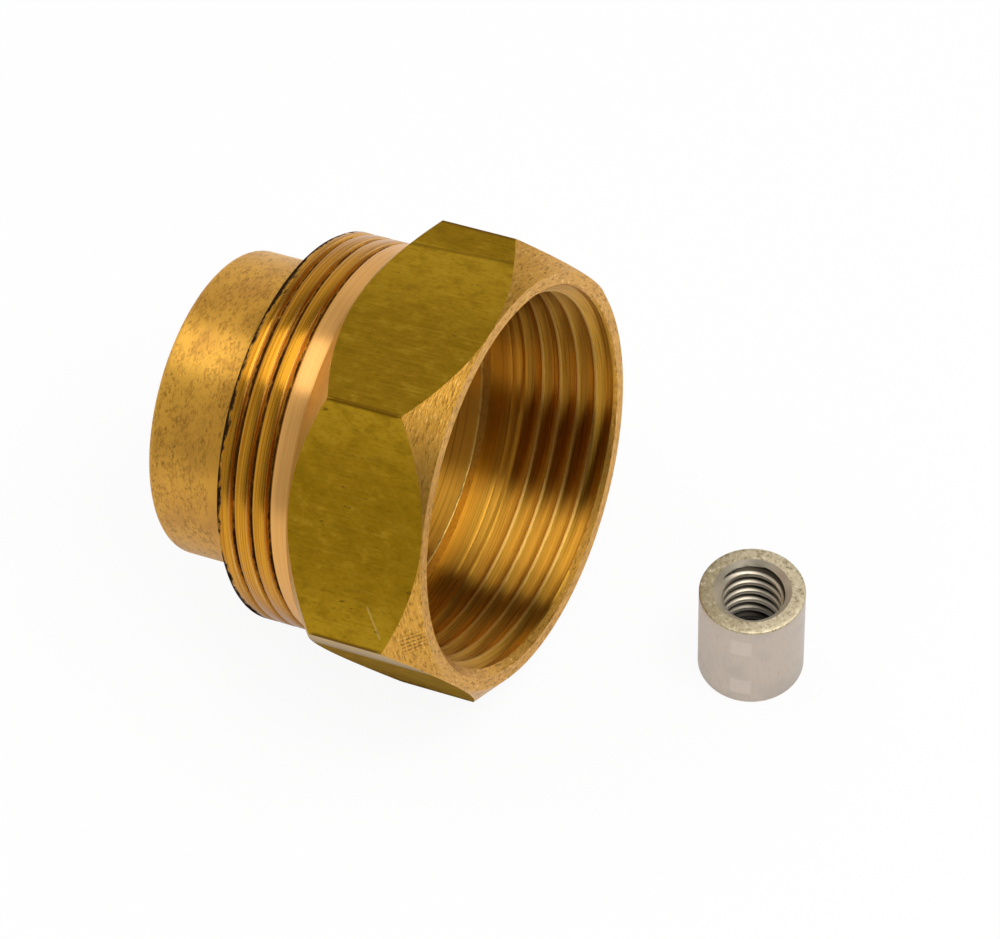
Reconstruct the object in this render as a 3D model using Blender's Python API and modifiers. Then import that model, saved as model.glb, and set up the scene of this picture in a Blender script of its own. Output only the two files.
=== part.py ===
"""Brass thread extension and its loose steel stem coupling.

The extension is one turned piece of hexagon bar: a threaded socket at the front, a male thread and a
plain spigot at the rear, and a stepped passage right through. Both threads are right-hand helices, cut
as real grooves. The coupling is a short tapped sleeve that stands beside it, with a plain hole at the
crest size of its thread. Units are metres, +Z is up, and the floor is Z = 0.

The extension lies as it falls on a bench: on the rear edge of one hexagon flat and on the rim of its
male thread, so its axis leans up towards the socket. +X is the way that the axis heads along the floor.
"""
from math import atan2, ceil, cos, pi, radians, sin, tan

import bpy
import bmesh
from mathutils import Matrix

MM = 0.001

# Extension: the two threads share one nominal size, and the hexagon leaves a wall outside the socket
THREAD_DIAMETER = 30.0 * MM
THREAD_PITCH = 1.5 * MM
THREAD_CLEARANCE = 0.15 * MM
HEX_WALL = 1.0 * MM
HEX_LENGTH = 11.175 * MM
HEX_CORNER_ROUND = 0.08 * MM
FRONT_FACE_INSET = 0.05 * MM
REAR_FACE_INSET = 0.15 * MM
SHANK_LENGTH = 6.575 * MM
RIM_BREAK = 0.15 * MM
SPIGOT_DIAMETER = 23.5 * MM
SPIGOT_LENGTH = 7.7 * MM
SPIGOT_WALL = 2.25 * MM
SPIGOT_ROUND = 0.6 * MM
SPIGOT_BORE_BREAK = 0.3 * MM
SOCKET_DEPTH = 10.4 * MM
LEDGE_WIDTH = 1.35 * MM
WEB_THICKNESS = 1.3 * MM

# Thread forms: the shares of a pitch that are flat on a crest and in a root, and the slope of each flank
MALE_CREST_SHARE = 0.62
MALE_ROOT_SHARE = 0.08
SOCKET_CREST_SHARE = 0.13
SOCKET_ROOT_SHARE = 0.33
FLANK_ANGLE = 30.0

# The male groove ends this far short of the hexagon, and the socket's starts this far above the ledge
MALE_RUNOUT = 1.68 * MM
SOCKET_RUNOUT = 3.43 * MM

# Coupling: a tapped sleeve, countersunk at both ends
SLEEVE_DIAMETER = 8.0 * MM
SLEEVE_HEIGHT = 8.7 * MM
SLEEVE_THREAD_DIAMETER = 5.5 * MM
SLEEVE_THREAD_PITCH = 1.05 * MM
SLEEVE_LEAD = 0.2 * MM
SLEEVE_EDGE_BREAK = 0.15 * MM

# Where the coupling stands, from the middle of the socket's face
SLEEVE_AHEAD = 16.73 * MM
SLEEVE_ASIDE = 4.32 * MM

# An internal thread's crests stand this many pitches of diameter inside its nominal size
MINOR_DROP = 1.0825
TURN_STEPS = 72
ROUND_STEPS = 5
CUTTER_MARGIN = 2.0 * MM
GROOVE_MARGIN_SHARE = 0.1

BRASS_COLOUR = (0.46, 0.27, 0.05, 1.0)
STEEL_COLOUR = (0.50, 0.43, 0.37, 1.0)

# Radii and heights along the extension's own axis, with 0 at the spigot's end
SHANK_RADIUS = (THREAD_DIAMETER - THREAD_CLEARANCE) / 2
SOCKET_RADIUS = (THREAD_DIAMETER - MINOR_DROP * THREAD_PITCH) / 2
MOUTH_RADIUS = THREAD_DIAMETER / 2
FLAT_RADIUS = THREAD_DIAMETER / 2 + HEX_WALL
CORNER_RADIUS = FLAT_RADIUS / cos(radians(30))
FRONT_FACE_RADIUS = FLAT_RADIUS - FRONT_FACE_INSET
REAR_FACE_RADIUS = FLAT_RADIUS - REAR_FACE_INSET
CHAMBER_RADIUS = SOCKET_RADIUS - LEDGE_WIDTH
SPIGOT_RADIUS = SPIGOT_DIAMETER / 2
SPIGOT_BORE_RADIUS = SPIGOT_RADIUS - SPIGOT_WALL
HEX_START = SPIGOT_LENGTH + SHANK_LENGTH
FRONT = HEX_START + HEX_LENGTH
LEDGE = FRONT - SOCKET_DEPTH
CHAMBER_FLOOR = SPIGOT_LENGTH + WEB_THICKNESS

# The two points that the extension lies on, and the lean that they give its axis
FLAT_REAR_EDGE = HEX_START + REAR_FACE_INSET
THREAD_RIM = SPIGOT_LENGTH + RIM_BREAK
LEAN = atan2(FLAT_RADIUS - SHANK_RADIUS, FLAT_REAR_EDGE - THREAD_RIM)
SPIGOT_END_HEIGHT = FLAT_RADIUS * cos(LEAN) - FLAT_REAR_EDGE * sin(LEAN)

# The set is centred on the floor's origin from the spigot's rearmost point to the sleeve's front
REAR_REACH = (SPIGOT_RADIUS - SPIGOT_ROUND) * sin(LEAN) - SPIGOT_ROUND * cos(LEAN) + SPIGOT_ROUND
SLEEVE_FORWARD = FRONT * cos(LEAN) + SLEEVE_AHEAD
SPIGOT_END_X = (REAR_REACH - SLEEVE_FORWARD - SLEEVE_DIAMETER / 2) / 2


def clear_scene():
    for old in list(bpy.data.objects):
        bpy.data.objects.remove(old, do_unlink=True)


def new_collection(name):
    collection = bpy.data.collections.new(name)
    bpy.context.scene.collection.children.link(collection)
    return collection


def metal(name, colour, roughness):
    material = bpy.data.materials.new(name)
    material.use_nodes = True
    shader = material.node_tree.nodes["Principled BSDF"]
    shader.inputs["Base Color"].default_value = colour
    shader.inputs["Metallic"].default_value = 1.0
    shader.inputs["Roughness"].default_value = roughness
    return material


def arc(centre_radius, centre_height, radius, start, end):
    """Points of a round in the profile's plane, from one angle to another in degrees."""
    angles = [radians(start + (end - start) * i / ROUND_STEPS) for i in range(ROUND_STEPS + 1)]
    return [(centre_radius + radius * cos(a), centre_height + radius * sin(a)) for a in angles]


def turned(name, profile, collection):
    """A closed profile of (radius, height) points, turned about Z."""
    mesh = bpy.data.meshes.new(name)
    shape = bmesh.new()
    points = [shape.verts.new((radius, 0, height)) for radius, height in profile]
    for first, second in zip(points, points[1:] + points[:1]):
        shape.edges.new((first, second))
    shape.to_mesh(mesh)
    shape.free()
    piece = bpy.data.objects.new(name, mesh)
    collection.objects.link(piece)
    screw = piece.modifiers.new("turn", "SCREW")
    screw.steps = TURN_STEPS
    screw.render_steps = TURN_STEPS
    screw.use_merge_vertices = True
    screw.merge_threshold = 0.000001
    return piece


def hexagon_bar(collection):
    """The bar that the extension is turned from: flats face along X, corners along Y."""
    mesh = bpy.data.meshes.new("hexagon_bar")
    shape = bmesh.new()
    bmesh.ops.create_cone(
        shape, cap_ends=True, segments=6, radius1=CORNER_RADIUS, radius2=CORNER_RADIUS,
        depth=FRONT + 2 * CUTTER_MARGIN)
    bmesh.ops.translate(shape, verts=shape.verts, vec=(0, 0, FRONT / 2))
    shape.to_mesh(mesh)
    shape.free()
    bar = bpy.data.objects.new("hexagon_bar", mesh)
    collection.objects.link(bar)
    bar.hide_render = True
    bar.display_type = "WIRE"
    bevel = bar.modifiers.new("corner_round", "BEVEL")
    bevel.width = HEX_CORNER_ROUND
    bevel.segments = 3
    return bar


def thread_groove(name, crest_radius, inward, shares, start, turns, collection):
    """A groove between crests, swept up a right-hand helix from a height at angle 0.

    inward is 1 where the groove goes in towards the axis and -1 where it goes outwards.
    """
    crest_share, root_share = shares
    slope = tan(radians(FLANK_ANGLE))
    depth = (1 - crest_share - root_share) / 2 * THREAD_PITCH / slope
    margin = GROOVE_MARGIN_SHARE * THREAD_PITCH
    root_half = root_share / 2 * THREAD_PITCH
    open_half = root_half + (depth + margin) * slope
    root_radius = crest_radius - inward * depth
    open_radius = crest_radius + inward * margin
    section = [
        (root_radius, -root_half), (root_radius, root_half), (open_radius, open_half), (open_radius, -open_half)]
    mesh = bpy.data.meshes.new(name)
    shape = bmesh.new()
    corners = [shape.verts.new((radius, 0, start + height)) for radius, height in section]
    shape.faces.new(corners)
    steps = turns * TURN_STEPS
    bmesh.ops.spin(
        shape, geom=shape.verts[:] + shape.edges[:] + shape.faces[:], cent=(0, 0, 0), axis=(0, 0, 1),
        dvec=(0, 0, turns * THREAD_PITCH / steps), angle=turns * 2 * pi, steps=steps)
    bmesh.ops.rotate(shape, verts=shape.verts, cent=(0, 0, 0), matrix=Matrix.Rotation(pi / TURN_STEPS, 3, "Z"))
    bmesh.ops.recalc_face_normals(shape, faces=shape.faces)
    shape.to_mesh(mesh)
    shape.free()
    groove = bpy.data.objects.new(name, mesh)
    collection.objects.link(groove)
    groove.hide_render = True
    groove.display_type = "WIRE"
    return groove


def male_groove(collection):
    """From the air behind the thread's rim up to its run-out at the neck."""
    end = HEX_START - MALE_RUNOUT
    turns = ceil((end - SPIGOT_LENGTH) / THREAD_PITCH) + 1
    return thread_groove(
        "male_groove", SHANK_RADIUS, 1, (MALE_CREST_SHARE, MALE_ROOT_SHARE), end - turns * THREAD_PITCH, turns,
        collection)


def socket_groove(collection):
    """From its start above the ledge up into the air in front of the socket."""
    start = LEDGE + SOCKET_RUNOUT
    turns = ceil((FRONT - start) / THREAD_PITCH) + 1
    return thread_groove(
        "socket_groove", SOCKET_RADIUS, -1, (SOCKET_CREST_SHARE, SOCKET_ROOT_SHARE), start, turns, collection)


def extension_profile():
    """Down the outside from the socket's face to the spigot, then back up through the passage."""
    collar = CORNER_RADIUS + CUTTER_MARGIN
    outside = [
        (FRONT_FACE_RADIUS, FRONT),
        (collar, FRONT - (collar - FRONT_FACE_RADIUS)),
        (collar, HEX_START + (collar - REAR_FACE_RADIUS)),
        (REAR_FACE_RADIUS, HEX_START),
        (SHANK_RADIUS, HEX_START),
        (SHANK_RADIUS, THREAD_RIM),
        (SHANK_RADIUS - RIM_BREAK, SPIGOT_LENGTH),
        (SPIGOT_RADIUS, SPIGOT_LENGTH)]
    end_round = arc(SPIGOT_RADIUS - SPIGOT_ROUND, SPIGOT_ROUND, SPIGOT_ROUND, 0, -90)
    passage = [
        (SPIGOT_BORE_RADIUS + SPIGOT_BORE_BREAK, 0),
        (SPIGOT_BORE_RADIUS, SPIGOT_BORE_BREAK),
        (SPIGOT_BORE_RADIUS, CHAMBER_FLOOR),
        (CHAMBER_RADIUS, CHAMBER_FLOOR),
        (CHAMBER_RADIUS, LEDGE),
        (SOCKET_RADIUS, LEDGE),
        (SOCKET_RADIUS, FRONT - (MOUTH_RADIUS - SOCKET_RADIUS)),
        (MOUTH_RADIUS, FRONT)]
    return outside + end_round + passage


def sleeve_profile():
    """Down the outside of the coupling, then up through its tapped hole."""
    outer = SLEEVE_DIAMETER / 2
    hole = (SLEEVE_THREAD_DIAMETER - MINOR_DROP * SLEEVE_THREAD_PITCH) / 2
    mouth = SLEEVE_THREAD_DIAMETER / 2 + SLEEVE_LEAD
    return [
        (outer - SLEEVE_EDGE_BREAK, SLEEVE_HEIGHT),
        (outer, SLEEVE_HEIGHT - SLEEVE_EDGE_BREAK),
        (outer, SLEEVE_EDGE_BREAK),
        (outer - SLEEVE_EDGE_BREAK, 0),
        (mouth, 0),
        (hole, mouth - hole),
        (hole, SLEEVE_HEIGHT - (mouth - hole)),
        (mouth, SLEEVE_HEIGHT)]


def make_solid(piece, material):
    """Keeps the finished mesh, smooth on the turned surfaces and sharp at the edges."""
    graph = bpy.context.evaluated_depsgraph_get()
    mesh = bpy.data.meshes.new_from_object(piece.evaluated_get(graph))
    mesh.name = piece.name
    piece.modifiers.clear()
    piece.data = mesh
    mesh.shade_smooth()
    mesh.set_sharp_from_angle(angle=radians(20))
    mesh.materials.clear()
    mesh.materials.append(material)


def build_extension(parts, cutters):
    body = turned("extension_body", extension_profile(), parts)
    flats = body.modifiers.new("flats", "BOOLEAN")
    flats.operation = "INTERSECT"
    flats.object = hexagon_bar(cutters)
    for cutter in (male_groove(cutters), socket_groove(cutters)):
        thread = body.modifiers.new(cutter.name, "BOOLEAN")
        thread.operation = "DIFFERENCE"
        thread.object = cutter
    make_solid(body, metal("brass", BRASS_COLOUR, 0.35))
    body.location = (SPIGOT_END_X, 0, SPIGOT_END_HEIGHT)
    body.rotation_euler = (0, pi / 2 - LEAN, 0)


def build_coupling(parts):
    sleeve = turned("stem_coupling", sleeve_profile(), parts)
    make_solid(sleeve, metal("steel", STEEL_COLOUR, 0.4))
    sleeve.location = (SPIGOT_END_X + SLEEVE_FORWARD, SLEEVE_ASIDE, 0)


def main():
    clear_scene()
    parts = new_collection("thread_extension_set")
    cutters = new_collection("cutters")
    build_extension(parts, cutters)
    build_coupling(parts)


main()
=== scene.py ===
"""Looks of the brass thread extension and its steel stem coupling: real helical threads and worn metal."""
from math import atan2, cos, pi, radians, sin, sqrt, tan

import bmesh
import bpy
import numpy as np
from mathutils import Matrix, Vector


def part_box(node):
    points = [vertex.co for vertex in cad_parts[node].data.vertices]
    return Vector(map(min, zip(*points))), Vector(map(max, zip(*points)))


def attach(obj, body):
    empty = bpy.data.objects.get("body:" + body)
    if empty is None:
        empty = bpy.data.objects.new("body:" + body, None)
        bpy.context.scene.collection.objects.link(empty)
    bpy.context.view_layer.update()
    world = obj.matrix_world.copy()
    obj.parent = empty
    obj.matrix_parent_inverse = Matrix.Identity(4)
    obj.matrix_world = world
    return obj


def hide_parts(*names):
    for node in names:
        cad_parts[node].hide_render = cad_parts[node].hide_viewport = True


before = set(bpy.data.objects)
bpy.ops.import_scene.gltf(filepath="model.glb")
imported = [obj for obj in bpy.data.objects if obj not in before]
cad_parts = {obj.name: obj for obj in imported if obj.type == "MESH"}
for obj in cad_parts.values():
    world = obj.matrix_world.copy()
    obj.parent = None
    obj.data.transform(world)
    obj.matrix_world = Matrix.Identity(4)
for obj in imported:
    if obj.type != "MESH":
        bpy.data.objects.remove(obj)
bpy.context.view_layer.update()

MM = 0.001

# Sizes of the extension, as its solid has them, in millimetres along its own axis from the spigot's end
THREAD_DIAMETER = 30.0
THREAD_PITCH = 1.5
THREAD_CLEARANCE = 0.15
HEX_WALL = 1.0
HEX_LENGTH = 11.175
HEX_CORNER_ROUND = 0.16
FRONT_FACE_INSET = 0.05
REAR_FACE_INSET = 0.15
SHANK_LENGTH = 6.575
RIM_BREAK = 0.15
SPIGOT_DIAMETER = 23.5
SPIGOT_LENGTH = 7.7
SPIGOT_WALL = 2.25
SPIGOT_ROUND = 0.6
SPIGOT_BORE_BREAK = 0.3
SOCKET_DEPTH = 10.4
LEDGE_WIDTH = 1.35
WEB_THICKNESS = 1.3
SLEEVE_DIAMETER = 8.0
SLEEVE_HEIGHT = 8.7
SLEEVE_THREAD_DIAMETER = 5.5
SLEEVE_THREAD_PITCH = 1.05
SLEEVE_LEAD = 0.2
SLEEVE_EDGE_BREAK = 0.15
MINOR_DROP = 1.0825

SHANK_RADIUS = (THREAD_DIAMETER - THREAD_CLEARANCE) / 2
SOCKET_RADIUS = (THREAD_DIAMETER - MINOR_DROP * THREAD_PITCH) / 2
MOUTH_RADIUS = THREAD_DIAMETER / 2
FLAT_RADIUS = THREAD_DIAMETER / 2 + HEX_WALL
FRONT_FACE_RADIUS = FLAT_RADIUS - FRONT_FACE_INSET
REAR_FACE_RADIUS = FLAT_RADIUS - REAR_FACE_INSET
CHAMBER_RADIUS = SOCKET_RADIUS - LEDGE_WIDTH
SPIGOT_RADIUS = SPIGOT_DIAMETER / 2
SPIGOT_BORE_RADIUS = SPIGOT_RADIUS - SPIGOT_WALL
HEX_START = SPIGOT_LENGTH + SHANK_LENGTH
FRONT = HEX_START + HEX_LENGTH
LEDGE = FRONT - SOCKET_DEPTH
CHAMBER_FLOOR = SPIGOT_LENGTH + WEB_THICKNESS
FLAT_REAR_EDGE = HEX_START + REAR_FACE_INSET
THREAD_RIM = SPIGOT_LENGTH + RIM_BREAK
LEAN = atan2(FLAT_RADIUS - SHANK_RADIUS, FLAT_REAR_EDGE - THREAD_RIM)
SPIGOT_END_HEIGHT = FLAT_RADIUS * cos(LEAN) - FLAT_REAR_EDGE * sin(LEAN)

# Threads: axial shares of a pitch, and where the last groove passes the seam at angle 0
MALE_CREST_SHARE = 0.62
MALE_ROOT_SHARE = 0.08
SOCKET_CREST_SHARE = 0.13
SOCKET_ROOT_SHARE = 0.33
SLEEVE_CREST_SHARE = 0.3
SLEEVE_ROOT_SHARE = 0.125
FLANK_ANGLE = 30.0
MALE_RUNOUT = 1.68
SOCKET_RUNOUT = 3.43
MALE_FADE = (HEX_START - 1.88, HEX_START - 1.43)
SOCKET_FADE = (LEDGE + 2.2, LEDGE + 3.3)
SLEEVE_START = (0.2, 0.5)
SLEEVE_START_ROUND = 0.1
SLEEVE_MARKS_EDGE = (-0.05, 0.2)
PLAIN_NECK = 1.3
TOOL_LINE = LEDGE + 1.85
TOOL_LINE_DEPTH = 0.04
TOOL_LINE_WIDTH = 0.16
BURR = 0.07
BURR_DEPTH = 0.15
BURR_WAVES = (7, 19, 37, 61, 83)

# Marks on the metal, in the piece's own millimetres: a drawing line and a scratch on the flats, painted shade
# on the lower flats, chatter on the front chamfer, a clean band on the spigot, residue round the thread's rim
# and painted shade on its lower side, and painted highlight patches on the sleeve's side and painted shade on
# one side of its end.
# An EDGE is where a mark starts and where it is full.
DRAWING_LINE = ((-16.0, 6.35, 15.0), (-16.0, 7.0, 25.0))
FLAT_SCRATCH = ((-2.91, -16.80, 21.48), (-0.96, -17.92, 22.76))
# Where the painted shade on the lower flats starts and where it is full
UNDERSIDE_SHADE_EDGE = (1.0, 5.0)
CHATTER_PATCH = (25.1, 24.7, 16.7)
CHATTER_ROWS = 0.36
CHATTER_DASHES = 0.6
CLEAN_BAND_EDGE = (SPIGOT_LENGTH - 2.7, SPIGOT_LENGTH - 2.3)
CLEAN_SIDE_EDGE = (-9.0, -5.0)
# Painted shade on the thread's lower side, and how much further the black rim reaches there
LOW_SIDE_SHADE_EDGE = (-2.0, 9.0)
LOW_SIDE_SHADE_REACH = 0.8
RIM_EDGE = (THREAD_RIM + 0.30, THREAD_RIM + 0.05)
# Two painted highlight patches on the sleeve's side
HIGHLIGHT_ARC = 7.2
HIGHLIGHT_HALF = 0.8
HIGHLIGHT_HEIGHTS = (6.65, 1.9)
# Direction towards the side of the sleeve's end that has no painted shade
END_LIT_SIDE = (0.888, 0.46, 0.0)

# Mesh: columns round a turn, steps round an edge, and how a thread's corners are sampled and eased, in shares
# of a pitch
COLUMNS = 432
SLEEVE_COLUMNS = 240
ROUND_STEPS = 8
EDGE_MIDDLE = 0.3
PHASE_CORNER = 0.035
EASED_WIDTH = 0.05
EASED_SAMPLES = 5
WELD = 1e-6
SHARP_ANGLE = 32.0
CORNER_SPREAD = radians(0.28)

# The photograph's camera
AZIMUTH = 27.373
ELEVATION = 51.998
ROLL = -1.279
LENS = 239.33
SENSOR = 36.0
CAMERA_DISTANCE = 494.56
AIM_BEHIND_FACE = 9.173
AIM_RIGHT = 6.299
AIM_UP = -1.286

# Floor, in metres, and the share of plain white that each kind of ray sees on it. The rest is lit and keeps
# the object's shadow.
FLOOR_RADIUS = 4.0
FLOOR_DROP = 0.0001
FLOOR_COLOUR = (0.9, 0.9, 0.9, 1)
FLOOR_WHITE = {"Is Camera Ray": 0.93, "Is Glossy Ray": 0.5, "Is Transmission Ray": 0.5}

# Softboxes: direction from the object, and distance, width and height in metres
LIT_PLACE = Vector((0, 0, 0.01))
OVERHEAD = {"direction": (0.0, -0.09, 1.0), "distance": 0.5, "width": 1.0, "height": 0.30, "strength": 1.85}
FRONT_BOX = {"direction": (0.46, 0.0, 0.88), "distance": 0.5, "width": 0.5, "height": 0.2, "strength": 4.1}

# Room: its light, its dark side, and the share of light that is left towards the ceiling
ROOM_LIGHT = 0.76
ROOM_DARK = 0.02
DARK_SIDE = (1.0, -0.45, 0.2)
DARK_SIDE_EDGE = (-0.2, 0.5)
CEILING_SHARE = 0.2
CEILING_EDGE = (0.5, 0.9)

# Colours of the drawn flats, as shares of red, green and blue light
FLAT_BRASS = (0.36, 0.198, 0.0052)
# A painted sheen on the top and one side of the flats, and painted shade on the lower flats
FLAT_PAINTED_SHEEN = (0.54, 0.31, 0.014)
FLAT_UNDERSIDE_SHADE = (0.30, 0.17, 0.03)
FLAT_MOTTLE_DARK = (0.27, 0.15, 0.003)
FLAT_MOTTLE_LIGHT = (0.54, 0.33, 0.022)
FLAT_STREAK_LIGHT = (0.58, 0.36, 0.03)
FLAT_STREAK_DARK = (0.24, 0.13, 0.003)
FLAT_GRAIN_DARK = (0.20, 0.11, 0.003)
FLAT_GRAIN_LIGHT = (0.50, 0.30, 0.02)
FLAT_PIT = (0.16, 0.09, 0.005)
FLAT_SCRATCH_BRIGHT = (0.80, 0.60, 0.20)
FLAT_DRAWN_LINE = (0.22, 0.12, 0.004)
FLAT_CORNER = (0.19, 0.095, 0.004)

# Colours of the turned brass
CONE_BRASS = (0.70, 0.355, 0.052)
CONE_TONE = (0.62, 0.31, 0.04)
CONE_SPECK = (0.34, 0.16, 0.02)
CONE_GLINT = (0.92, 0.58, 0.18)
CONE_CHATTER = (0.26, 0.12, 0.015)
SPIGOT_BRASS = (0.77, 0.40, 0.046)
SPIGOT_TONE = (0.62, 0.30, 0.04)
SPIGOT_DASH = (0.42, 0.19, 0.018)
SPIGOT_DASH_DEEP = (0.22, 0.09, 0.008)
THREAD_BRASS = (0.68, 0.32, 0.026)
THREAD_LINES = (0.40, 0.15, 0.008)
# A painted highlight along each crest of the male thread
THREAD_CREST_HIGHLIGHT = (0.90, 0.60, 0.25)
# Painted shade on the thread's lower side
THREAD_LOW_SIDE_SHADE = (0.31, 0.115, 0.005)
RESIDUE_BROWN = (0.07, 0.025, 0.005)
# Black residue round the rim, also laid as painted shade on the rim and grooves of the lower side
RESIDUE_AND_SHADE_BLACK = (0.022, 0.012, 0.005)
NECK_BRASS = (0.85, 0.44, 0.125)
NECK_LINES = (0.70, 0.34, 0.07)
NECK_SPECK = (0.3, 0.14, 0.02)
REAR_BRASS = (0.56, 0.31, 0.055)
REAR_GRAIN = (0.42, 0.20, 0.026)
BORE_BRASS = (0.66, 0.35, 0.042)
BORE_LINES = (0.40, 0.19, 0.016)
BORE_CREST = (0.85, 0.54, 0.13)
LEDGE_BRASS = (0.66, 0.46, 0.12)
LEDGE_GRAIN = (0.42, 0.27, 0.05)

# Colours of the steel
STEEL = (0.58, 0.495, 0.42)
STEEL_GRAIN = (0.53, 0.445, 0.375)
STEEL_TONE = (0.52, 0.45, 0.39)
# Painted highlight patches on the sleeve's side
STEEL_PAINTED_HIGHLIGHT = (0.68, 0.59, 0.51)
END_STEEL = (0.70, 0.60, 0.41)
# Painted shade on one side of the sleeve's end
END_PAINTED_SHADE = (0.46, 0.385, 0.235)
END_SPECK_DARK = (0.33, 0.265, 0.15)
END_SPECK_LIGHT = (0.85, 0.78, 0.60)
TAPPED_CREST = (0.66, 0.58, 0.45)
# Painted shade in the tapped hole's flanks and roots, and deeper down the hole
TAPPED_ROOT_SHADE = (0.034, 0.026, 0.015)
TAPPED_DEPTH_SHADE = (0.020, 0.015, 0.010)


def smooth_step(low, high, value):
    share = np.clip((value - low) / (high - low), 0, 1)
    return share * share * (3 - 2 * share)


def rounded_larger(first, second, width):
    """The larger of two values, rounded off where they cross."""
    gap = np.clip((first - second) / width, -1, 1)
    return np.maximum(first, second) + width / 4 * (1 - np.abs(gap)) ** 2


def thread_phases(crest_share, root_share):
    """Sample points over one pitch, from a crest's middle to the next, close together at each corner."""
    crest = crest_share / 2
    root = 0.5 - root_share / 2
    round_crest = [crest - PHASE_CORNER, crest, crest + PHASE_CORNER]
    half = [0, *round_crest, (crest + root) / 2, root - PHASE_CORNER, root, 0.5]
    return np.array(half + [1 - p for p in half[-2:0:-1]])


def thread_depth(phase, crest_share, root_share):
    """0 on the crest and 1 in the root, with eased corners."""
    from_crest = np.abs((phase + 0.5) % 1.0 - 0.5)
    flank_start = crest_share / 2
    flank_width = 0.5 - root_share / 2 - crest_share / 2
    total = 0
    for offset in np.linspace(-EASED_WIDTH / 2, EASED_WIDTH / 2, EASED_SAMPLES):
        shifted = np.abs(from_crest + offset)
        shifted = np.minimum(shifted, 1 - shifted)
        total = total + np.clip((shifted - flank_start) / flank_width, 0, 1)
    return total / EASED_SAMPLES


def full_depth(pitch, crest_share, root_share):
    flank = (1 - crest_share - root_share) / 2 * pitch
    return flank / tan(radians(FLANK_ANGLE))


class Lathe:
    """Collects strips of a turned skin. Every strip spans a full turn, and all are welded at the end."""

    def __init__(self, angles):
        self.angles = angles
        self.points = []
        self.marks = []
        self.faces = []
        self.finishes = []
        self.count = 0

    def strip(self, radii, heights, finish, marks=0.0):
        """Rows are stations along the profile and columns are angles. marks are kept as an attribute."""
        shape = np.broadcast_shapes(np.shape(radii), np.shape(heights), (1, len(self.angles)))
        radii, heights, finish, marks = (np.broadcast_to(v, shape) for v in (radii, heights, finish, marks))
        points = [radii * np.cos(self.angles), radii * np.sin(self.angles), heights]
        self.points.append(np.stack(points, -1).reshape(-1, 3))
        self.marks.append(marks.reshape(-1))
        index = np.arange(radii.size).reshape(shape) + self.count
        quads = np.stack([index[:-1, :-1], index[1:, :-1], index[1:, 1:], index[:-1, 1:]], -1)
        self.faces.append(quads.reshape(-1, 4))
        self.finishes.append(finish[:-1, :-1].reshape(-1))
        self.count += radii.size

    def run(self, profile, finish, steps=1):
        """A plain turned stretch through (radius, height) stations that are the same all round."""
        knots = np.linspace(0, len(profile) - 1, (len(profile) - 1) * steps + 1)
        radii, heights = (np.interp(knots, range(len(profile)), column) for column in zip(*profile))
        self.strip(radii[:, None], heights[:, None], finish)

    def blend(self, first, second, finish, rows, marks=0.0):
        """A stretch between two rings of (radius, height) that may change round the turn."""
        shares = np.linspace(0, 1, rows)[:, None]
        radii, heights = (a + shares * (b - a) for a, b in zip(first, second))
        self.strip(radii, heights, finish, marks)

    def mesh(self, name, place):
        """Welds the strips and puts them in place. Points keep their own millimetres and the axis."""
        mesh = bpy.data.meshes.new(name)
        points = np.concatenate(self.points)
        mesh.from_pydata((points * MM).tolist(), [], np.concatenate(self.faces).tolist())
        mesh.polygons.foreach_set("material_index", np.concatenate(self.finishes).astype(np.int32))
        own = mesh.attributes.new("own", "FLOAT_VECTOR", "POINT")
        own.data.foreach_set("vector", points.astype(np.float32).reshape(-1))
        marks = mesh.attributes.new("marks", "FLOAT", "POINT")
        marks.data.foreach_set("value", np.concatenate(self.marks).astype(np.float32))
        axis = np.array(place.to_3x3() @ Vector((0, 0, 1)), dtype=np.float32)
        along = mesh.attributes.new("along", "FLOAT_VECTOR", "POINT")
        along.data.foreach_set("vector", np.tile(axis, len(points)))
        shape = bmesh.new()
        shape.from_mesh(mesh)
        bmesh.ops.remove_doubles(shape, verts=shape.verts, dist=WELD)
        bmesh.ops.dissolve_degenerate(shape, edges=shape.edges, dist=WELD)
        bmesh.ops.recalc_face_normals(shape, faces=shape.faces)
        shape.to_mesh(mesh)
        shape.free()
        mesh.transform(place)
        mesh.shade_smooth()
        mesh.set_sharp_from_angle(angle=radians(SHARP_ANGLE))
        return mesh


def helix_rows(lathe, pitch, phases, low, high, crest_at):
    """Heights and phases of rows that follow a right-hand helix, held between two heights."""
    turn = lathe.angles / (2 * pi)
    first = int(np.floor((low - crest_at) / pitch)) - 2
    last = int(np.ceil((high - crest_at) / pitch)) + 2
    steps = np.concatenate([phases + k for k in range(first, last)])
    heights = crest_at + pitch * (steps[:, None] + turn)
    held = np.clip(heights, low, high)
    phase = (held - crest_at) / pitch - turn
    return held, phase


def hexagon_radius(angles):
    """Distance from the axis to the hexagon's surface, with flats facing angle 0 and eased corners."""
    sixth = pi / 3
    off_flat = (angles + sixth / 2) % sixth - sixth / 2
    flat = FLAT_RADIUS / np.cos(off_flat)
    centre = (FLAT_RADIUS - HEX_CORNER_ROUND) / cos(sixth / 2)
    off_corner = sixth / 2 - np.abs(off_flat)
    reach = HEX_CORNER_ROUND ** 2 - (centre * np.sin(off_corner)) ** 2
    rounded = centre * np.cos(off_corner) + np.sqrt(np.maximum(reach, 0))
    return np.where(reach > 0, np.minimum(flat, rounded), flat)


def extension_angles():
    """Even columns, with a few more across each rounded corner. The seam is underneath."""
    even = np.linspace(0, 2 * pi, COLUMNS + 1)
    spread = CORNER_SPREAD * np.array([-1.0, -0.6, -0.2, 0.2, 0.6, 1.0])
    corners = [radians(30 + 60 * k) + spread for k in range(6)]
    return np.unique(np.round(np.concatenate([even] + corners), 9))


FLATS, CONE, SPIGOT, THREAD, NECK, REAR_CONE, BORE, LEDGE_FACE = range(8)


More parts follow.
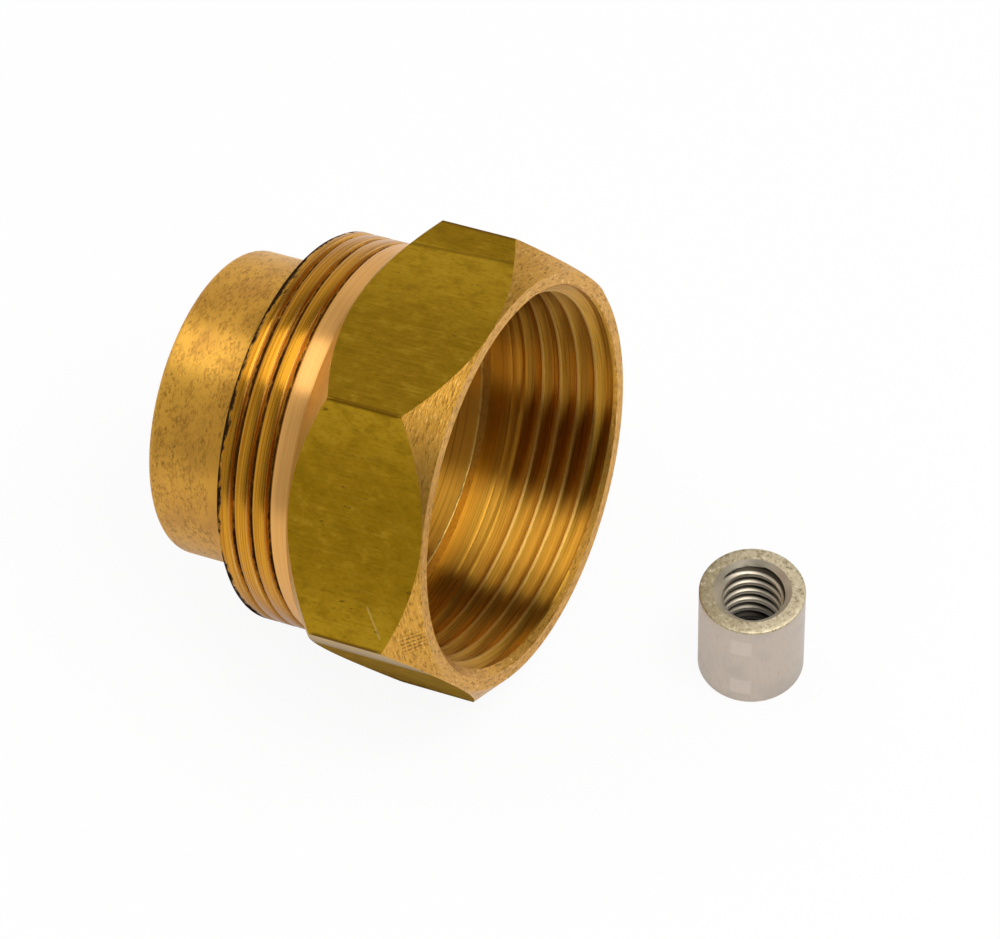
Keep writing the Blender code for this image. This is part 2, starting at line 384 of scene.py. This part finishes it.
def male_thread(lathe):
    """From the run-out at the neck down to the rim and its eased edge."""
    depth = full_depth(THREAD_PITCH, MALE_CREST_SHARE, MALE_ROOT_SHARE)
    crest_at = HEX_START - MALE_RUNOUT - THREAD_PITCH / 2
    heights, phase = helix_rows(
        lathe, THREAD_PITCH, thread_phases(MALE_CREST_SHARE, MALE_ROOT_SHARE),
        SPIGOT_LENGTH, HEX_START - PLAIN_NECK, crest_at)
    share = thread_depth(phase, MALE_CREST_SHARE, MALE_ROOT_SHARE)
    share = share * (1 - smooth_step(*MALE_FADE, heights))
    eased = SHANK_RADIUS - RIM_BREAK + (heights - SPIGOT_LENGTH)
    radii = np.minimum(SHANK_RADIUS - depth * share, eased)
    last_groove = HEX_START - MALE_RUNOUT + THREAD_PITCH * (lathe.angles / (2 * pi) - 1)
    finish = np.where(heights > last_groove + 0.25 * THREAD_PITCH, NECK, THREAD)
    lathe.strip(radii[::-1], heights[::-1], finish[::-1], share[::-1])
    return radii[0]


def socket_thread(lathe):
    """From the smooth band up to the mouth, where the lead-in cuts the crests away."""
    depth = full_depth(THREAD_PITCH, SOCKET_CREST_SHARE, SOCKET_ROOT_SHARE)
    heights, phase = helix_rows(
        lathe, THREAD_PITCH, thread_phases(SOCKET_CREST_SHARE, SOCKET_ROOT_SHARE),
        TOOL_LINE + TOOL_LINE_WIDTH, FRONT, LEDGE + SOCKET_RUNOUT - THREAD_PITCH / 2)
    share = thread_depth(phase, SOCKET_CREST_SHARE, SOCKET_ROOT_SHARE)
    fade = smooth_step(*SOCKET_FADE, heights)
    lead_in = MOUTH_RADIUS - (FRONT - heights)
    cut = SOCKET_RADIUS + depth * share * fade
    radii = np.maximum(cut, lead_in)
    finish = np.where(lead_in > cut, CONE, BORE)
    lathe.strip(radii, heights, finish, (1 - share) * fade)
    return radii[-1]


def hexagon_skin(lathe):
    """Front chamfer, flats and rear chamfer, whose borders follow the hexagon's outline in arcs."""
    hexagon = hexagon_radius(lathe.angles)
    front_edge = FRONT - (hexagon - FRONT_FACE_RADIUS)
    rear_edge = HEX_START + (hexagon - REAR_FACE_RADIUS)
    off_corner = np.abs(lathe.angles % (pi / 3) - pi / 6)
    corners = np.where(off_corner < 1.01 * CORNER_SPREAD, 1.0, 0.0)
    lathe.blend((FRONT_FACE_RADIUS, FRONT), (hexagon, front_edge), CONE, rows=7)
    lathe.blend((hexagon, front_edge), (hexagon, rear_edge), FLATS, rows=13, marks=corners)
    lathe.blend((hexagon, rear_edge), (REAR_FACE_RADIUS, HEX_START), REAR_CONE, rows=7)
    lathe.run([(REAR_FACE_RADIUS, HEX_START), (SHANK_RADIUS, HEX_START)], REAR_CONE, steps=2)
    lathe.run([(SHANK_RADIUS, HEX_START), (SHANK_RADIUS, HEX_START - PLAIN_NECK)], NECK)


def spigot_skin(lathe, rim):
    """The shoulder behind the thread, the spigot, its rounded end and its bore."""
    lathe.blend((rim, SPIGOT_LENGTH), (SPIGOT_RADIUS, SPIGOT_LENGTH), SPIGOT, rows=5)
    lathe.run([(SPIGOT_RADIUS, SPIGOT_LENGTH), (SPIGOT_RADIUS, SPIGOT_ROUND)], SPIGOT, steps=8)
    middle = SPIGOT_RADIUS - SPIGOT_ROUND
    turns = [radians(-90 * i / ROUND_STEPS) for i in range(ROUND_STEPS + 1)]
    edge = [(middle + SPIGOT_ROUND * cos(a), SPIGOT_ROUND + SPIGOT_ROUND * sin(a)) for a in turns]
    lathe.run(edge, SPIGOT)
    lathe.run([(middle, 0), (SPIGOT_BORE_RADIUS + SPIGOT_BORE_BREAK, 0),
               (SPIGOT_BORE_RADIUS, SPIGOT_BORE_BREAK)], SPIGOT, steps=2)
    lathe.run([(SPIGOT_BORE_RADIUS, SPIGOT_BORE_BREAK), (SPIGOT_BORE_RADIUS, CHAMBER_FLOOR),
               (CHAMBER_RADIUS, CHAMBER_FLOOR), (CHAMBER_RADIUS, LEDGE - BURR_DEPTH)], BORE, steps=4)


def ledge_skin(lathe):
    """The ledge, with a ragged burr on its inner edge, then the smooth band and its fine tool line."""
    ragged = sum(np.sin(lathe.angles * k + k * k) / sqrt(k) for k in BURR_WAVES)
    inner = CHAMBER_RADIUS - BURR * np.clip(ragged, 0, 1)
    low = LEDGE - 0.2 * BURR_DEPTH
    high = LEDGE + 0.15 * BURR_DEPTH
    outer = CHAMBER_RADIUS + 1.5 * BURR_DEPTH
    lathe.blend((CHAMBER_RADIUS, LEDGE - BURR_DEPTH), (inner, low), LEDGE_FACE, rows=3)
    lathe.blend((inner, low), (inner + 0.2 * BURR_DEPTH, high), LEDGE_FACE, rows=2)
    lathe.blend((inner + 0.2 * BURR_DEPTH, high), (outer, LEDGE), LEDGE_FACE, rows=3)
    lathe.run([(outer, LEDGE), (SOCKET_RADIUS, LEDGE)], LEDGE_FACE, steps=3)
    half = TOOL_LINE_WIDTH / 2
    lathe.run([(SOCKET_RADIUS, LEDGE), (SOCKET_RADIUS, TOOL_LINE - half),
               (SOCKET_RADIUS + TOOL_LINE_DEPTH, TOOL_LINE), (SOCKET_RADIUS, TOOL_LINE + half),
               (SOCKET_RADIUS, TOOL_LINE + TOOL_LINE_WIDTH)], BORE, steps=2)


def extension_mesh(place):
    """One closed skin: over the hexagon to the spigot's end, then back through the passage to the mouth."""
    lathe = Lathe(extension_angles())
    hexagon_skin(lathe)
    rim = male_thread(lathe)
    spigot_skin(lathe, rim)
    ledge_skin(lathe)
    mouth = socket_thread(lathe)
    lathe.blend((mouth, FRONT), (FRONT_FACE_RADIUS, FRONT), CONE, rows=4)
    return lathe.mesh("brass_extension", place)


SIDE, END, TAPPED = range(3)


def sleeve_mesh(place):
    """A closed skin over the ends and the side, then up the tapped hole."""
    lathe = Lathe(np.linspace(0, 2 * pi, SLEEVE_COLUMNS + 1))
    outer = SLEEVE_DIAMETER / 2
    hole = (SLEEVE_THREAD_DIAMETER - MINOR_DROP * SLEEVE_THREAD_PITCH) / 2
    mouth = SLEEVE_THREAD_DIAMETER / 2 + SLEEVE_LEAD
    depth = full_depth(SLEEVE_THREAD_PITCH, SLEEVE_CREST_SHARE, SLEEVE_ROOT_SHARE)
    heights, phase = helix_rows(
        lathe, SLEEVE_THREAD_PITCH, thread_phases(SLEEVE_CREST_SHARE, SLEEVE_ROOT_SHARE),
        0.0, SLEEVE_HEIGHT, 0.0)
    share = thread_depth(phase, SLEEVE_CREST_SHARE, SLEEVE_ROOT_SHARE)
    from_end = np.minimum(heights, SLEEVE_HEIGHT - heights)
    lead_in = mouth - from_end
    share = share * smooth_step(*SLEEVE_START, from_end)
    cut = hole + depth * share
    at_end = (heights <= 0) | (heights >= SLEEVE_HEIGHT)
    tapped = np.where(at_end, mouth, rounded_larger(cut, lead_in, SLEEVE_START_ROUND))
    edge = SLEEVE_EDGE_BREAK
    top = SLEEVE_HEIGHT
    near = EDGE_MIDDLE * edge
    upper_end = [(mouth, top), (outer - edge, top), (outer - near, top - near), (outer, top - edge)]
    lower_end = [(outer, edge), (outer - near, near), (outer - edge, 0), (mouth, 0)]
    lathe.run(upper_end, END, steps=3)
    lathe.run([(outer, top - edge), (outer, edge)], SIDE, steps=9)
    lathe.run(lower_end, END, steps=3)
    lathe.strip(tapped, heights, TAPPED, share * smooth_step(*SLEEVE_MARKS_EDGE, cut - lead_in))
    return lathe.mesh("steel_coupling", place)


class Shader:
    """A metal material and a short way to add and join its nodes. Texture places are in millimetres."""

    def __init__(self, name, colour, roughness, metallic=1.0):
        self.material = bpy.data.materials.new(name)
        self.material.use_nodes = True
        self.tree = self.material.node_tree
        self.surface = self.tree.nodes["Principled BSDF"]
        self.surface.inputs["Metallic"].default_value = metallic
        self.surface.inputs["Base Color"].default_value = (*colour, 1)
        self.surface.inputs["Roughness"].default_value = roughness
        self.colour = (*colour, 1)
        self.metallic = metallic

    def feed(self, socket, value):
        if isinstance(value, bpy.types.NodeSocket):
            self.tree.links.new(value, socket)
        else:
            socket.default_value = value

    def add(self, kind, inputs, **settings):
        node = self.tree.nodes.new(kind)
        for key, value in settings.items():
            setattr(node, key, value)
        for key, value in inputs.items():
            self.feed(node.inputs[key], value)
        return node

    def maths(self, operation, first, second=0.0):
        return self.add("ShaderNodeMath", {0: first, 1: second}, operation=operation).outputs[0]

    def vector(self, operation, first, second, output=0):
        return self.add("ShaderNodeVectorMath", {0: first, 1: second}, operation=operation).outputs[output]

    def parts(self, vector):
        return self.add("ShaderNodeSeparateXYZ", {0: vector}).outputs

    def attribute(self, name, output):
        return self.add("ShaderNodeAttribute", {}, attribute_name=name).outputs[output]

    def own(self):
        return self.attribute("own", "Vector")

    def turned(self, radius):
        """Arc length at a radius, height, and distance from the axis. The seam is underneath."""
        parts = self.parts(self.own())
        x = self.maths("MULTIPLY", parts[0], -1.0)
        y = self.maths("MULTIPLY", parts[1], -1.0)
        arc = self.maths("MULTIPLY", self.maths("ARCTAN2", y, x), radius)
        squares = self.maths("ADD", self.maths("MULTIPLY", x, x), self.maths("MULTIPLY", y, y))
        across = self.maths("SQRT", squares)
        return self.add("ShaderNodeCombineXYZ", {0: arc, 1: parts[2], 2: across}).outputs[0]

    def noise(self, place, stretch, detail=3.0, roughness=0.55):
        """Noise whose grains have about 1 / stretch millimetres along each direction."""
        scaled = self.vector("MULTIPLY", place, stretch)
        inputs = {"Vector": scaled, "Scale": 1.0, "Detail": detail, "Roughness": roughness}
        return self.add("ShaderNodeTexNoise", inputs).outputs["Fac"]

    def step(self, value, low, high):
        inputs = {"Value": value, "From Min": low, "From Max": high}
        return self.add("ShaderNodeMapRange", inputs, interpolation_type="SMOOTHSTEP").outputs[0]

    def between(self, value, low, high, soft):
        """1 between two values and 0 outside them."""
        rise = self.step(value, low - soft, low + soft)
        fall = self.step(value, high + soft, high - soft)
        return self.maths("MULTIPLY", rise, fall)

    def scale(self, value, low, high):
        return self.add("ShaderNodeMapRange", {"Value": value, "To Min": low, "To Max": high}).outputs[0]

    def waver(self, value, noise, reach):
        """Moves a value up and down by noise, so that a border at that value is ragged."""
        return self.maths("ADD", value, self.maths("MULTIPLY", self.maths("SUBTRACT", noise, 0.5), reach))

    def paint(self, share, colour, strength=1.0):
        """Lays a colour over what is there, by a share from 0 to 1 times a strength."""
        if strength < 1.0:
            share = self.maths("MULTIPLY", share, strength)
        mix = self.add("ShaderNodeMix", {"Factor": share}, data_type="RGBA")
        self.feed(mix.inputs[6], self.colour)
        self.feed(mix.inputs[7], (*colour, 1))
        self.colour = mix.outputs[2]
        self.feed(self.surface.inputs["Base Color"], self.colour)

    def roughen(self, share, low, high):
        self.feed(self.surface.inputs["Roughness"], self.scale(share, low, high))

    def dull(self, share):
        """Makes the metal matt by a share from 0 to 1, so that it neither mirrors nor glints: for residue and
        for painted shade.
        """
        bare = self.maths("SUBTRACT", 1.0, share)
        self.feed(self.surface.inputs["Metallic"], self.maths("MULTIPLY", bare, self.metallic))
        self.feed(self.surface.inputs["Specular IOR Level"], self.maths("MULTIPLY", bare, 0.5))

    def turning(self, spread):
        """Fine lines round the axis spread a reflection along it."""
        self.surface.inputs["Anisotropic"].default_value = spread
        self.feed(self.surface.inputs["Tangent"], self.attribute("along", "Vector"))

    def bump(self, height, millimetres):
        inputs = {"Height": height, "Distance": millimetres * MM, "Strength": 1.0}
        node = self.add("ShaderNodeBump", inputs)
        normal = self.surface.inputs["Normal"]
        if normal.is_linked:
            self.feed(node.inputs["Normal"], normal.links[0].from_socket)
        self.feed(normal, node.outputs[0])


def scratch(s, start, end, width):
    """Share of a straight scratch between two own places."""
    path = Vector(end) - Vector(start)
    offset = s.vector("SUBTRACT", s.own(), start)
    along = s.vector("DOT_PRODUCT", offset, path.normalized(), "Value")
    sideways = s.vector("LENGTH", s.vector("CROSS_PRODUCT", offset, path.normalized()), (0, 0, 0), "Value")
    line = s.step(sideways, width, 0.3 * width)
    return s.maths("MULTIPLY", line, s.between(along, 0.0, path.length, 0.1))


def drawn_flats():
    """Mustard brass as drawn: mottled and streaked, with a painted sheen on top and one side, and dull
    corners.
    """
    s = Shader("brass_flats", FLAT_BRASS, 0.40)
    own = s.own()
    x, y = s.parts(own)[:2]
    across = s.parts(s.turned(FLAT_RADIUS))[2]
    # Painted sheen: the top of the flats and one side are painted lighter.
    top_sheen = s.maths("MULTIPLY", s.step(y, -2.0, 6.0), s.step(y, 7.2, 6.4))
    side_sheen = s.maths("MULTIPLY", s.step(across, FLAT_RADIUS, FLAT_RADIUS + 2.2), s.step(y, -8.8, -9.4))
    s.paint(s.maths("MAXIMUM", top_sheen, side_sheen), FLAT_PAINTED_SHEEN)
    # Painted shade: the lower flats are painted darker and matt.
    underside_shade = s.step(x, *UNDERSIDE_SHADE_EDGE)
    s.paint(underside_shade, FLAT_UNDERSIDE_SHADE)
    s.dull(underside_shade)
    mottle = s.noise(own, (1.0, 1.0, 0.6), 5.0, 0.65)
    s.paint(s.step(mottle, 0.45, 0.70), FLAT_MOTTLE_DARK, 0.6)
    s.paint(s.step(mottle, 0.48, 0.30), FLAT_MOTTLE_LIGHT, 0.5)
    streak = s.noise(own, (5.0, 5.0, 0.22), 3.0, 0.6)
    s.paint(s.step(streak, 0.50, 0.75), FLAT_STREAK_LIGHT, 0.25)
    s.paint(s.step(streak, 0.45, 0.25), FLAT_STREAK_DARK, 0.25)
    fine = s.noise(own, (4.0, 4.0, 2.2), 3.0, 0.7)
    s.paint(s.step(fine, 0.50, 0.68), FLAT_GRAIN_DARK, 0.35)
    s.paint(s.step(fine, 0.44, 0.30), FLAT_GRAIN_LIGHT, 0.30)
    pits = s.step(s.noise(own, (1.8, 1.8, 0.9), 2.0), 0.70, 0.75)
    s.paint(pits, FLAT_PIT, 0.7)
    s.paint(scratch(s, *FLAT_SCRATCH, 0.14), FLAT_SCRATCH_BRIGHT, 0.3)
    s.paint(scratch(s, *DRAWING_LINE, 0.2), FLAT_DRAWN_LINE, 0.6)
    corner = s.attribute("marks", "Fac")
    s.paint(corner, FLAT_CORNER)
    s.roughen(s.maths("MAXIMUM", streak, corner), 0.22, 0.54)
    s.bump(streak, 0.0015)
    s.bump(pits, -0.015)
    return s.material


def turned_cone():
    """Rough-turned gold with brown specks, on the front chamfer, the face and the lead-in."""
    s = Shader("brass_cone", CONE_BRASS, 0.36, 0.85)
    place = s.turned(FLAT_RADIUS)
    tone = s.noise(place, (0.4, 0.7, 0.7), 2.0)
    s.paint(s.step(tone, 0.40, 0.70), CONE_TONE)
    grain = s.noise(place, (1.8, 6.0, 6.0), 4.0, 0.65)
    s.paint(s.step(grain, 0.52, 0.66), CONE_SPECK)
    s.paint(s.step(grain, 0.42, 0.30), CONE_GLINT)
    patch = s.vector("DISTANCE", place, CHATTER_PATCH, "Value")
    arc, height = s.parts(place)[:2]
    rows = s.maths("SINE", s.maths("MULTIPLY", arc, 2 * pi / CHATTER_ROWS))
    dashes = s.maths("SINE", s.maths("MULTIPLY", height, 2 * pi / CHATTER_DASHES))
    hatch = s.step(s.waver(s.maths("MULTIPLY", rows, s.maths("ABSOLUTE", dashes)), grain, 1.5), 0.1, 0.6)
    s.paint(s.maths("MULTIPLY", hatch, s.step(patch, 1.4, 0.6)), CONE_CHATTER)
    s.roughen(grain, 0.26, 0.46)
    s.bump(grain, -0.02)
    return s.material


def turned_spigot():
    """Gold with short brown chatter dashes, apart from a clean band next to the thread."""
    s = Shader("brass_spigot", SPIGOT_BRASS, 0.4, 0.6)
    s.turning(0.95)
    place = s.turned(SPIGOT_RADIUS)
    tone = s.noise(place, (0.20, 0.3, 0.3), 2.0)
    s.paint(s.step(tone, 0.40, 0.75), SPIGOT_TONE)
    fine = s.noise(place, (3.0, 6.0, 6.0), 3.0, 0.6)
    coarse = s.noise(place, (0.7, 1.2, 1.2), 2.0)
    edge = s.step(s.waver(s.parts(place)[1], coarse, 0.8), *CLEAN_BAND_EDGE)
    clean = s.maths("MULTIPLY", edge, s.step(s.parts(s.own())[0], *CLEAN_SIDE_EDGE))
    dashes = s.step(s.waver(fine, coarse, 0.5), 0.46, 0.62)
    dashes = s.maths("MULTIPLY", dashes, s.maths("SUBTRACT", 1.0, clean))
    s.paint(dashes, SPIGOT_DASH, 0.6)
    s.paint(s.maths("MULTIPLY", s.step(fine, 0.62, 0.74), dashes), SPIGOT_DASH_DEEP)
    s.roughen(fine, 0.32, 0.46)
    s.bump(dashes, -0.006)
    return s.material


def turning_lines(s, place, millimetres):
    lines = s.noise(place, (0.03, 9.0, 9.0), 3.0, 0.7)
    s.bump(lines, millimetres)
    return lines


def male_thread_brass():
    """Orange brass with a painted highlight along each crest, residue in the grooves and round the rim, and
    painted shade below.
    """
    s = Shader("brass_thread", THREAD_BRASS, 0.28)
    s.turning(0.85)
    place = s.turned(SHANK_RADIUS)
    lines = turning_lines(s, place, 0.004)
    s.paint(s.step(lines, 0.40, 0.66), THREAD_LINES)
    marks = s.attribute("marks", "Fac")
    ragged = s.noise(place, (1.6, 4.0, 4.0), 3.0, 0.6)
    blotch = s.noise(place, (0.30, 0.5, 0.5), 2.0)
    # Painted highlight along each crest.
    crest_highlight = s.between(marks, 0.05, 0.30, 0.04)
    s.paint(s.maths("MULTIPLY", crest_highlight, s.scale(ragged, 0.0, 0.9)), THREAD_CREST_HIGHLIGHT)
    # Painted shade on the thread's lower side, which also blackens the rim and grooves there.
    low_side_shade = s.step(s.parts(s.own())[0], *LOW_SIDE_SHADE_EDGE)
    s.paint(low_side_shade, THREAD_LOW_SIDE_SHADE, 0.7)
    residue = s.step(s.waver(s.waver(marks, ragged, 0.9), blotch, 0.9), 0.55, 0.95)
    s.paint(residue, RESIDUE_BROWN)
    reach = s.waver(s.waver(s.parts(place)[1], ragged, 0.9), blotch, 0.9)
    reach = s.maths("SUBTRACT", reach, s.maths("MULTIPLY", low_side_shade, LOW_SIDE_SHADE_REACH))
    rim = s.step(reach, *RIM_EDGE)
    s.paint(rim, RESIDUE_AND_SHADE_BLACK)
    low_groove_shade = s.maths("MULTIPLY", residue, low_side_shade)
    s.paint(s.maths("MULTIPLY", low_groove_shade, s.step(blotch, 0.42, 0.60)), RESIDUE_AND_SHADE_BLACK)
    covered = s.maths("MAXIMUM", residue, rim)
    s.roughen(covered, 0.27, 0.65)
    s.dull(covered)
    return s.material


def polished_neck():
    """Pale gold, finely turned, with a few specks."""
    s = Shader("brass_neck", NECK_BRASS, 0.32, 0.8)
    s.turning(0.95)
    place = s.turned(SHANK_RADIUS)
    lines = turning_lines(s, place, 0.001)
    s.paint(s.step(lines, 0.45, 0.7), NECK_LINES)
    specks = s.step(s.noise(place, (1.2, 1.2, 1.2), 2.0), 0.71, 0.75)
    s.paint(specks, NECK_SPECK)
    return s.material


def rear_chamfer():
    """Orange tan, turned a little coarser than the neck."""
    s = Shader("brass_rear_chamfer", REAR_BRASS, 0.42)
    grain = s.noise(s.turned(SHANK_RADIUS), (0.5, 6.0, 6.0), 3.0, 0.6)
    s.paint(s.step(grain, 0.45, 0.75), REAR_GRAIN)
    s.bump(grain, 0.004)
    return s.material


def polished_bore():
    """Amber brass with fine turning lines and paler thread crests."""
    s = Shader("brass_bore", BORE_BRASS, 0.34)
    s.turning(1.0)
    place = s.turned(SOCKET_RADIUS)
    lines = turning_lines(s, place, 0.002)
    s.paint(s.step(lines, 0.45, 0.70), BORE_LINES)
    ragged = s.noise(place, (1.5, 5.0, 5.0), 2.0)
    crest = s.step(s.waver(s.attribute("marks", "Fac"), ragged, 0.15), 0.86, 0.98)
    s.paint(crest, BORE_CREST)
    s.roughen(crest, 0.36, 0.50)
    return s.material


def dull_ledge():
    """Olive brass with a coarse grain."""
    s = Shader("brass_ledge", LEDGE_BRASS, 0.5)
    grain = s.noise(s.turned(SOCKET_RADIUS), (2.0, 4.0, 4.0), 3.0)
    s.paint(s.step(grain, 0.5, 0.7), LEDGE_GRAIN)
    s.bump(grain, 0.02)
    return s.material


def satin_steel():
    """Pinkish grey, finely ground along its height, with two painted highlight patches."""
    s = Shader("steel_side", STEEL, 0.40)
    own = s.own()
    grain = s.noise(own, (6.0, 6.0, 1.2), 3.0, 0.6)
    s.paint(s.step(grain, 0.5, 0.75), STEEL_GRAIN)
    s.paint(s.step(s.noise(own, (0.4, 0.4, 0.4), 2.0), 0.45, 0.7), STEEL_TONE)
    arc, height = s.parts(s.turned(SLEEVE_DIAMETER / 2))[:2]
    # Two painted highlight patches.
    columns = s.between(arc, HIGHLIGHT_ARC - HIGHLIGHT_HALF, HIGHLIGHT_ARC + HIGHLIGHT_HALF, 0.06)
    for middle in HIGHLIGHT_HEIGHTS:
        rows = s.between(height, middle - HIGHLIGHT_HALF, middle + HIGHLIGHT_HALF, 0.06)
        s.paint(s.maths("MULTIPLY", rows, columns), STEEL_PAINTED_HIGHLIGHT, 0.5)
    s.roughen(grain, 0.34, 0.48)
    s.bump(grain, 0.004)
    return s.material


def speckled_end():
    """Olive grey with dark and light specks, and painted shade on one side."""
    s = Shader("steel_end", END_STEEL, 0.58)
    # Painted shade on one side of the end.
    side = s.vector("DOT_PRODUCT", s.own(), END_LIT_SIDE, "Value")
    s.paint(s.step(side, 1.0, -4.0), END_PAINTED_SHADE)
    grain = s.noise(s.own(), (3.5, 3.5, 3.5), 4.0, 0.65)
    s.paint(s.step(grain, 0.5, 0.68), END_SPECK_DARK)
    s.paint(s.step(grain, 0.45, 0.30), END_SPECK_LIGHT)
    s.bump(grain, 0.015)
    return s.material


def tapped_steel():
    """Light crests with painted shade on the flanks and roots, and more painted shade down the hole."""
    s = Shader("steel_tapped", TAPPED_CREST, 0.42, 0.75)
    # Painted shade in the flanks and roots, and deeper down the hole.
    s.paint(s.step(s.attribute("marks", "Fac"), 0.12, 0.48), TAPPED_ROOT_SHADE)
    s.paint(s.step(s.parts(s.own())[2], 5.0, 2.5), TAPPED_DEPTH_SHADE)
    return s.material


def add_piece(mesh, body, node, materials):
    piece = bpy.data.objects.new(mesh.name, mesh)
    bpy.context.scene.collection.objects.link(piece)
    for material in materials:
        mesh.materials.append(material)
    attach(piece, body)
    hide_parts(node)


def extension_place():
    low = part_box("extension_body")[0]
    rear_reach = (SPIGOT_RADIUS - SPIGOT_ROUND) * sin(LEAN) - SPIGOT_ROUND * cos(LEAN) + SPIGOT_ROUND
    end = Vector((low[0] + rear_reach * MM, 0, SPIGOT_END_HEIGHT * MM))
    return Matrix.Translation(end) @ Matrix.Rotation(pi / 2 - LEAN, 4, "Y")


def sleeve_place():
    low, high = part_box("stem_coupling")
    return Matrix.Translation(((low[0] + high[0]) / 2, (low[1] + high[1]) / 2, low[2]))


def add_camera(place):
    a, e, r = radians(AZIMUTH), radians(ELEVATION), radians(ROLL)
    back = Vector((sin(a) * cos(e), -cos(a) * cos(e), sin(e)))
    right = Vector((cos(a), sin(a), 0))
    up = back.cross(right)
    right, up = cos(r) * right + sin(r) * up, cos(r) * up - sin(r) * right
    aim = place @ Vector((0, 0, (FRONT - AIM_BEHIND_FACE) * MM)) + (AIM_RIGHT * right + AIM_UP * up) * MM
    data = bpy.data.cameras.new("camera")
    data.sensor_fit = "HORIZONTAL"
    data.sensor_width = SENSOR
    data.lens = LENS
    data.clip_start = 0.01
    camera = bpy.data.objects.new("camera", data)
    bpy.context.scene.collection.objects.link(camera)
    turn = Matrix((right, up, back)).transposed().to_4x4()
    camera.matrix_world = Matrix.Translation(aim + back * CAMERA_DISTANCE * MM) @ turn
    bpy.context.scene.camera = camera


def add_floor():
    mesh = bpy.data.meshes.new("floor")
    shape = bmesh.new()
    bmesh.ops.create_circle(shape, cap_ends=True, segments=64, radius=FLOOR_RADIUS)
    shape.to_mesh(mesh)
    shape.free()
    floor = bpy.data.objects.new("floor", mesh)
    bpy.context.scene.collection.objects.link(floor)
    floor.location.z = -FLOOR_DROP
    material = bpy.data.materials.new("floor_white")
    material.use_nodes = True
    nodes, links = material.node_tree.nodes, material.node_tree.links
    nodes.clear()
    path = nodes.new("ShaderNodeLightPath")
    share = None
    for rays, white in FLOOR_WHITE.items():
        total = nodes.new("ShaderNodeMath")
        total.operation = "MULTIPLY_ADD"
        links.new(path.outputs[rays], total.inputs[0])
        total.inputs[1].default_value = white
        total.inputs[2].default_value = 0.0
        if share:
            links.new(share, total.inputs[2])
        share = total.outputs[0]
    diffuse = nodes.new("ShaderNodeBsdfDiffuse")
    diffuse.inputs["Color"].default_value = FLOOR_COLOUR
    glow = nodes.new("ShaderNodeEmission")
    mix = nodes.new("ShaderNodeMixShader")
    links.new(share, mix.inputs[0])
    links.new(diffuse.outputs[0], mix.inputs[1])
    links.new(glow.outputs[0], mix.inputs[2])
    out = nodes.new("ShaderNodeOutputMaterial")
    links.new(mix.outputs[0], out.inputs["Surface"])
    mesh.materials.append(material)


def add_softbox(name, direction, distance, width, height, strength):
    """A rectangular lamp that faces the object. Its strength is the brightness of its surface."""
    data = bpy.data.lights.new(name, "AREA")
    data.shape = "RECTANGLE"
    data.size = width
    data.size_y = height
    data.energy = strength * width * height * pi
    lamp = bpy.data.objects.new(name, data)
    bpy.context.scene.collection.objects.link(lamp)
    away = Vector(direction).normalized()
    lamp.location = LIT_PLACE + away * distance
    lamp.rotation_euler = away.to_track_quat("Z", "Y").to_euler()


def add_world():
    """A dim room that is darker on one side and towards its ceiling."""
    world = bpy.data.worlds.new("studio")
    bpy.context.scene.world = world
    world.use_nodes = True
    nodes, links = world.node_tree.nodes, world.node_tree.links
    place = nodes.new("ShaderNodeTexCoord")

    def fade(direction, edge, first, last):
        facing = nodes.new("ShaderNodeVectorMath")
        facing.operation = "DOT_PRODUCT"
        facing.inputs[1].default_value = Vector(direction).normalized()
        links.new(place.outputs["Generated"], facing.inputs[0])
        shade = nodes.new("ShaderNodeMapRange")
        shade.interpolation_type = "SMOOTHSTEP"
        shade.inputs["From Min"].default_value = edge[0]
        shade.inputs["From Max"].default_value = edge[1]
        shade.inputs["To Min"].default_value = first
        shade.inputs["To Max"].default_value = last
        links.new(facing.outputs["Value"], shade.inputs["Value"])
        return shade.outputs[0]

    both = nodes.new("ShaderNodeMath")
    both.operation = "MULTIPLY"
    links.new(fade(DARK_SIDE, DARK_SIDE_EDGE, ROOM_LIGHT, ROOM_DARK), both.inputs[0])
    links.new(fade((0, 0, 1), CEILING_EDGE, 1.0, CEILING_SHARE), both.inputs[1])
    links.new(both.outputs[0], nodes["Background"].inputs["Color"])


place = extension_place()
brass = [drawn_flats(), turned_cone(), turned_spigot(), male_thread_brass(),
         polished_neck(), rear_chamfer(), polished_bore(), dull_ledge()]
steel = [satin_steel(), speckled_end(), tapped_steel()]
add_piece(extension_mesh(place), "extension", "extension_body", brass)
add_piece(sleeve_mesh(sleeve_place()), "coupling", "stem_coupling", steel)
add_camera(place)
add_floor()
add_softbox("overhead", **OVERHEAD)
add_softbox("front", **FRONT_BOX)
add_world()
bpy.context.scene.view_settings.view_transform = "Standard"
